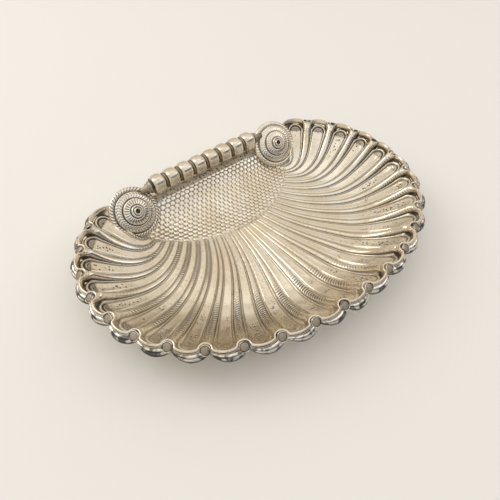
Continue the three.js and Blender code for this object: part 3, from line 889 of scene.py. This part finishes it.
class SHELL_OT_scrolls(bpy.types.Operator):
    """Builds the 25 scroll castings of the rim, 24 of them with the eye that they end in"""
    bl_idname = "shell_dish.scrolls"
    bl_label = "Rim scrolls"

    def execute(self, context):
        # Cast and buffed: the sharpest reflections, broken by painted blue-black reflections in patches
        # of film
        material = silver_plate("cast_silver_plate", [("groove", 0.95)], roughness=(0.06, 0.16),
                                patchiness=0.6, cream=0.15, uneven=0.6 * MM, reflection_patches=0.75)
        for scallop in range(SCALLOPS):
            net, tail = scroll_net(scallop)
            # The right half's scrolls run the other way along the rim, so their faces turn round
            parts = [(net, BAND_FILM_AND_SHADE, np.zeros(1), tail or 1)]
            if tail:
                eye = eye_net(scallop + 1 if tail > 0 else scallop)
                parts.append((eye, EYE_FILM_AND_SHADE[:, None], EYE_MATT[:, None], 1))
            points, faces, groove, matt = [], [], [], []
            for part, film, dull, turned in parts:
                faces.append(skin(*part.shape[:2], wrap_columns=True)[:, ::turned]
                             + sum(len(p) for p in points))
                points.append(part.reshape(-1, 3))
                groove.append(np.broadcast_to(film, part.shape[:2]).ravel())
                matt.append(np.broadcast_to(dull, part.shape[:2]).ravel())
            matt = np.concatenate(matt)
            number = "%02d" % (scallop + 1)
            make_piece("scroll_" + number, to_frame(np.concatenate(points)),
                       np.concatenate(faces), ["rim_scroll_" + number], material,
                       {"groove": np.concatenate(groove), "matt": matt, "cool": 1 - matt})
        return {"FINISHED"}


# The rosettes

# Half section as (radius, height) in millimetres, from the back's middle to the eye: sloping
# bands, each with a thin raised edge, and narrow grooves between them
ROSETTE_PROFILE = [
    (0, -3), (22.5, -3), (25.0, -1.6), (25.5, 0.2), (25.2, 1.6), (24.3, 2.6), (22.8, 3.2),
    (21.6, 3.1), (20.9, 2.6), (20.6, 2.0), (20.2, 2.2), (20.0, 4.2), (19.7, 4.8), (19.2, 5.0),
    (17.6, 5.7), (15.8, 6.2), (14.4, 6.4), (13.9, 6.2), (13.6, 5.6), (13.3, 5.8), (13.1, 7.6),
    (12.8, 8.2), (12.3, 8.4), (10.4, 9.1), (8.4, 9.5), (7.4, 9.6), (7.0, 9.3), (6.7, 8.8),
    (6.4, 9.0), (6.2, 10.5), (5.8, 11.2), (5.1, 11.5), (4.5, 11.3), (4.2, 10.9), (3.9, 11.4),
    (3.4, 12.4), (2.9, 12.7), (2.4, 12.4), (2.0, 11.4), (1.5, 10.7), (0, 10.5)]
ROSETTE_ROWS, ROSETTE_SIDES, ROSETTE_WIDENING = 180, 400, 1.03
# Bands of strokes: middle, half width, number round the ring, slant, depth in millimetres
ROSETTE_STROKES = [(23.0, 2.3, 46, 0.55, 0.6), (18.4, 1.5, 38, -0.7, 0.5),
                   (15.4, 1.5, 38, 0.7, 0.5), (10.0, 2.5, 26, 0.0, 0.55)]
ROSETTE_GROOVES, GROOVE_HALF, EYE_HOLE = np.array([20.5, 13.5, 6.6, 4.2, 1.0]), 0.65, 2.0
# By side: depth left in the worn strokes, film in the grooves, and the stroke of full film; the left
# rosette's heavier film is painted shade
ROSETTE_WEAR_AND_SHADE = {-1: (1.0, 1.0, 0.65), 1: (0.35, 0.7, 1.4)}
# Middle of the dish out to a rosette, and rim's end and rim plane to its back, in millimetres
ROSETTE_PLACE = (91.9, 10.15, 13.0)


def rosette_net(side):
    """One rosette: a stepped turned cone whose bands carry punched strokes. A stroke's depth is
    max(0, cos(n a + s (r - m)))^1.5 over the angle a and radius r, fading to the band's edges.
    Gives the net and its film."""
    t = bpy.context.scene.trim_sizes
    knots = np.array(ROSETTE_PROFILE)
    run = run_along(knots)
    profile = along_line(np.linspace(0, run[-1], ROSETTE_ROWS), run, knots)
    net = turned_net(profile * np.array([ROSETTE_WIDENING, 1.0]) * MM, ROSETTE_SIDES)
    angle = round_angles(ROSETTE_SIDES)
    r = profile[:, :1]
    front = (profile[:, 1:] > 0.5).astype(float)
    strokes = np.zeros(net.shape[:2])
    for middle, half, count, slant, depth in ROSETTE_STROKES:
        strength = np.maximum(1 - np.abs((r - middle) / half) ** 4, 0) * front
        wave = np.maximum(np.cos(count * angle + slant * 2.4 * (r - middle)), 0) ** 1.5
        strokes += strength * depth * wave
    left, line_film, full_stroke = ROSETTE_WEAR_AND_SHADE[side]
    strokes *= left
    net[..., 2] -= strokes * MM
    line = np.maximum(0, 1 - np.abs(r - ROSETTE_GROOVES).min(axis=1) / GROOVE_HALF) * line_film
    # The middle of the eye, inside its pit, is painted full dark as shade
    film = (line[:, None] + (r < EYE_HOLE)) * front + strokes / full_stroke
    net = rotate(rotate(net, 1, 2, t.rosette_lean), 0, 1, -side * t.rosette_turn)
    out, inset, down = ROSETTE_PLACE
    place = np.array([side * out * MM, rim_end_y() - inset * MM, -down * MM])
    return net + place, np.clip(film, 0, 1)


class SHELL_OT_rosettes(bpy.types.Operator):
    """Builds the two stepped rosettes"""
    bl_idname = "shell_dish.rosettes"
    bl_label = "Rosettes"

    def execute(self, context):
        # Cast, punched and left dark in its strokes
        material = silver_plate("antique_cast_silver_plate", [("groove", 0.95)],
                                roughness=(0.12, 0.24), cream=0.3)
        for name, side in (("left", -1), ("right", 1)):
            net, film = rosette_net(side)
            make_turned("chased_rosette_" + name, to_frame(net), "rosette_" + name,
                        material, film)
        return {"FINISHED"}


# The bead bar and the feet, with their profiles in millimetres

BORE = 3.3
HAIRLINES = 0.6 * MM
BEAD_STEPS, BEAD_SIDES, SMALL_SIDES = 31, 56, 44
# A bead: power and fall of its barrel, and squareness and turn of its section
BEAD_POWER, BEAD_FALL, BEAD_SQUARENESS, BEAD_FACING = 3.4, 0.24, 2.7, math.radians(12)
FERRULE = [(0, 3), (BORE, 3), (BORE, 0), (6.3, 0), (6.6, 0.4), (6.6, 1.4), (5.4, 2.0), (5.0, 3.0),
           (5.4, 3.6), (5.4, 4.4), (4.0, 5.2), (3.2, 7), (3.0, 12), (0, 12)]
# Painted shade on the collars and ferrules, which lie between the beads
COLLAR_SHADE, FERRULE_SHADE = 0.75, 0.6
# A foot: radii of its pad and neck, half height of its bun, and core and bulge of the bun below
# and above its widest line
FOOT_PAD, FOOT_NECK, BUN_HALF, BUN_LOW, BUN_HIGH = 5.2, 5.9, 2.6, (5.5, 3.0), (6.2, 2.3)


def bar_ring(profile, sides, middle, squareness=2.0, facing=0.0):
    """A turned ring round the bead bar, its section the rounded square
    r / (|cos a|^n + |sin a|^n)^(1/n), turned by facing."""
    net = turned_net(np.array(profile) * MM, sides)
    angle = round_angles(sides) + facing
    powers = np.abs(np.cos(angle)) ** squareness + np.abs(np.sin(angle)) ** squareness
    shape = powers ** (-1 / squareness)
    shape = shape / shape.max()
    x, y, z = net[..., 0] * shape, net[..., 1] * shape, net[..., 2]
    return np.stack([z + middle, y, -x], axis=-1) + BAR


class SHELL_OT_bar(bpy.types.Operator):
    """Builds the beads, collars and ferrules of the bar, and finishes its rod"""
    bl_idname = "shell_dish.bar"
    bl_label = "Bead bar"

    def execute(self, context):
        t = context.scene.trim_sizes
        pitch = t.bead_length + t.collar_length + HAIRLINES
        # The beads are rubbed bright by hands, and what lies between them stays dull; the film on the
        # collars, the ferrules and the beads' ends is painted shade between the parts
        polished = silver_plate("polished_silver_plate", [("groove", 0.8)], roughness=(0.2, 0.3))
        shaded = silver_plate("dull_silver_plate", [("groove", 0.8)], cream=1.0)
        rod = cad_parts["bar_rod"]
        rod.data.materials.clear()
        rod.data.materials.append(shaded)

        half = t.bead_length / MM / 2
        height = half * np.sin(np.linspace(-math.pi / 2, math.pi / 2, BEAD_STEPS))
        barrel = t.bead_radius / MM * (1 - np.abs(height / half) ** BEAD_POWER * BEAD_FALL)
        bead = [(BORE, -half), *zip(barrel, height), (BORE, half), (BORE, -half)]
        # Painted shade at the bead's ends, where it meets the collars, and full film in its bore
        dark = np.array([1.0, *smoothstep(np.abs(height / half), 0.86, 1.0), 1.0, 1.0])[:, None]
        for i in range(BEADS):
            net = bar_ring(bead, BEAD_SIDES, (i + 0.5 - BEADS / 2) * pitch, BEAD_SQUARENESS,
                           BEAD_FACING)
            make_turned("bead_%d" % (i + 1), net, "bar_bead_%d" % (i + 1),
                        polished, dark)

        half = t.collar_length / MM / 2
        radius = t.collar_radius / MM
        bend = np.linspace(-math.pi / 2, math.pi / 2, 9)
        rounded = [(radius - 1 + np.cos(a), half * np.sin(a)) for a in bend]
        collar = [(BORE, -half), *rounded, (BORE, half), (BORE, -half)]
        for i in range(1, BEADS):
            net = bar_ring(collar, SMALL_SIDES, (i - BEADS / 2) * pitch)
            make_turned("collar_%d" % i, net, "bar_collar_%d" % i, shaded,
                        COLLAR_SHADE)

        for name, side in (("left", -1), ("right", 1)):
            profile = [(r, side * h) for r, h in FERRULE]
            net = bar_ring(profile, SMALL_SIDES, side * BEADS / 2 * pitch)
            make_turned("ferrule_" + name, net, "bar_ferrule_" + name, shaded,
                        FERRULE_SHADE)
        return {"FINISHED"}


class SHELL_OT_feet(bpy.types.Operator):
    """Builds the four bun feet under the floor"""
    bl_idname = "shell_dish.feet"
    bl_label = "Feet"

    def execute(self, context):
        # Plate that no cloth reaches, gone cream
        material = silver_plate("foot_silver_plate", [("groove", 0.6)], cream=0.8)
        for name in ("back_left", "back_right", "front_left", "front_right"):
            low, high = (np.array(corner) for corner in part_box("foot_" + name))
            middle = (low + high) / 2
            top = (high[2] - low[2]) / MM
            bun = []
            for a in np.linspace(-math.pi / 2, math.pi / 2, 17)[1:]:
                core, bulge = BUN_LOW if a < 0 else BUN_HIGH
                bun.append((core + bulge * math.cos(a), BUN_HALF + BUN_HALF * math.sin(a)))
            profile = np.array([(0, 0), (FOOT_PAD, 0), *bun, (FOOT_NECK, 5.6), (FOOT_NECK, top),
                                (0, top)])
            net = turned_net(profile * MM, SMALL_SIDES)
            dark = smoothstep(profile[:, 1:], 4.8, 5.6)
            make_turned("bun_foot_" + name, net + np.array([middle[0], middle[1], low[2]]),
                        "foot_" + name, material, dark)
        return {"FINISHED"}


# The stage

FLOOR_HALF = 4.0
# Name, place, size, power in watts and colour of each lamp, and the point they face
LAMPS = [("window_light", (-0.9, 1.1, 1.3), 1.0, 7, (1.0, 0.98, 0.95)),
         ("fill_light", (1.2, -0.6, 1.1), 0.8, 1.6, (1.0, 0.96, 0.9)),
         ("top_light", (0.4, 0.5, 1.7), 1.2, 1.0, (1.0, 0.97, 0.92))]
LAMP_TARGET = np.array([0, 0, 0.03])
# Shades of the room by the height of the direction, from level to overhead. The side behind the
# viewer is a cool window over a dark sill
ROOM_SHADES = [(0.0, "#EFE9DF"), (0.12, "#E4DBCE"), (0.26, "#B9AD9C"), (0.42, "#EDE6DA"),
               (0.75, "#E6DED2"), (1.0, "#FAF8F4")]
WINDOW_SHADES = [(0.0, "#D8D6D2"), (0.15, "#A5A6A9"), (0.28, "#25282F"), (0.43, "#2F3A4C"),
                 (0.5, "#C9D6EC"), (0.64, "#F6F9FF"), (1.0, "#FAF8F4")]
WINDOW_WAY, WINDOW_EDGE = (0.3, -0.85, 0.42), (0.62, 0.84)
# The photograph's viewpoint, from the rim's mirror symmetry: its place from the bead bar across
# and along and from the rim plane up, its aim, and the focal length
VIEW_PLACE, VIEW_AIM, FOCAL_LENGTH = (-0.2061, -0.3411, 0.3137), (0.4047, 0.514, -0.7566), 33.17


def add_object(name, data):
    """An object linked to the scene."""
    item = bpy.data.objects.new(name, data)
    bpy.context.scene.collection.objects.link(item)
    return item


def to_track(aim):
    """Euler turn that points -Z along aim with X level: pitch about X, then azimuth about Z."""
    x, y, z = unit(np.asarray(aim, dtype=float))
    return (math.pi / 2 + math.asin(z), 0.0, math.atan2(-x, y))


def add_floor():
    """A pale painted floor."""
    h = FLOOR_HALF
    mesh = bpy.data.meshes.new("studio_floor")
    mesh.from_pydata([(-h, -h, 0), (h, -h, 0), (h, h, 0), (-h, h, 0)], [], [(0, 1, 2, 3)])
    paint = bpy.data.materials.new("matt_floor_paint")
    paint.use_nodes = True
    shader = paint.node_tree.nodes["Principled BSDF"]
    shader.inputs["Base Color"].default_value = (*bpy.context.scene.plate_colours.floor, 1)
    shader.inputs["Roughness"].default_value = 0.85
    mesh.materials.append(paint)
    floor = add_object("studio_floor", mesh)


def add_lamps():
    """Soft lamps that face the dish."""
    for name, place, size, power, colour in LAMPS:
        light = bpy.data.lights.new(name, "AREA")
        light.size, light.energy, light.color = size, power, colour
        lamp = add_object(name, light)
        lamp.location = place
        lamp.rotation_euler = to_track(LAMP_TARGET - np.array(place))


def add_world():
    """The room that the metal mirrors, with its window behind the viewer."""
    world = bpy.data.worlds.new("studio_world")
    world.use_nodes = True
    world.node_tree.nodes.clear()
    node = functools.partial(add_node, world.node_tree)
    ray = node("TexCoord", output="Generated")
    height = node("SeparateXYZ", (ray,), "Z")
    toward = node("VectorMath", (ray, unit(np.array(WINDOW_WAY))), "Value", operation="DOT_PRODUCT")
    sides = []
    for shades in (ROOM_SHADES, WINDOW_SHADES):
        sides.append(node("ValToRGB", (height,)))
        ramp = sides[-1].node.color_ramp
        ramp.elements[0].color = (*linear(shades[0][1]), 1)
        ramp.elements[1].color = (*linear(shades[-1][1]), 1)
        for place, shade in shades[1:-1]:
            ramp.elements.new(place).color = (*linear(shade), 1)
    window = node("MapRange", (toward, *WINDOW_EDGE))
    seen = node("Mix", {0: window, 6: sides[0], 7: sides[1]}, 2, data_type="RGBA")
    node("OutputWorld", (node("Background", (seen, 1.0)),))
    bpy.context.scene.world = world


def add_camera():
    """A camera at the photograph's viewpoint."""
    camera = bpy.data.cameras.new("photo_camera")
    camera.lens, camera.sensor_width = FOCAL_LENGTH, 36
    camera.clip_start = 0.01
    view = add_object("photo_camera", camera)
    x, y, z = VIEW_PLACE
    view.location = (x, BAR[1] + y, BAR[2] - BAR_ABOVE_RIM + z)
    view.rotation_euler = to_track(VIEW_AIM)
    bpy.context.scene.camera = view


class SHELL_OT_stage(bpy.types.Operator):
    """Sets up the floor, the soft lights, the world and the camera"""
    bl_idname = "shell_dish.stage"
    bl_label = "Stage"

    def execute(self, context):
        add_floor()
        add_lamps()
        add_world()
        add_camera()
        context.scene.view_settings.view_transform = "Standard"
        return {"FINISHED"}


class SHELL_PT_panel(bpy.types.Panel):
    """Sizes, colours and steps of the shell dish"""
    bl_idname = "SHELL_PT_panel"
    bl_label = "Shell dish"
    bl_space_type = "VIEW_3D"
    bl_region_type = "UI"
    bl_category = "Shell dish"

    def draw(self, context):
        scene = context.scene
        for group in (scene.shell_sizes, scene.trim_sizes, scene.plate_colours):
            column = self.layout.column()
            for name in group.__annotations__:
                column.prop(group, name)
        for operator in OPERATORS:
            self.layout.operator(operator.bl_idname)


GROUPS = {"shell_sizes": ShellSizes, "trim_sizes": TrimSizes, "plate_colours": Colours}
OPERATORS = (SHELL_OT_stage, SHELL_OT_fan, SHELL_OT_field, SHELL_OT_scrolls, SHELL_OT_rosettes,
             SHELL_OT_bar, SHELL_OT_feet)


def register():
    for cls in (*GROUPS.values(), *OPERATORS, SHELL_PT_panel):
        bpy.utils.register_class(cls)
    for name, group in GROUPS.items():
        setattr(bpy.types.Scene, name, bpy.props.PointerProperty(type=group))


def unregister():
    for name in GROUPS:
        delattr(bpy.types.Scene, name)
    for cls in (SHELL_PT_panel, *reversed(OPERATORS), *reversed(list(GROUPS.values()))):
        bpy.utils.unregister_class(cls)


def main():
    """Builds the whole dish."""
    register()
    for operator in OPERATORS:
        group, name = operator.bl_idname.split(".")
        getattr(getattr(bpy.ops, group), name)()


if __name__ == "__main__":
    main()
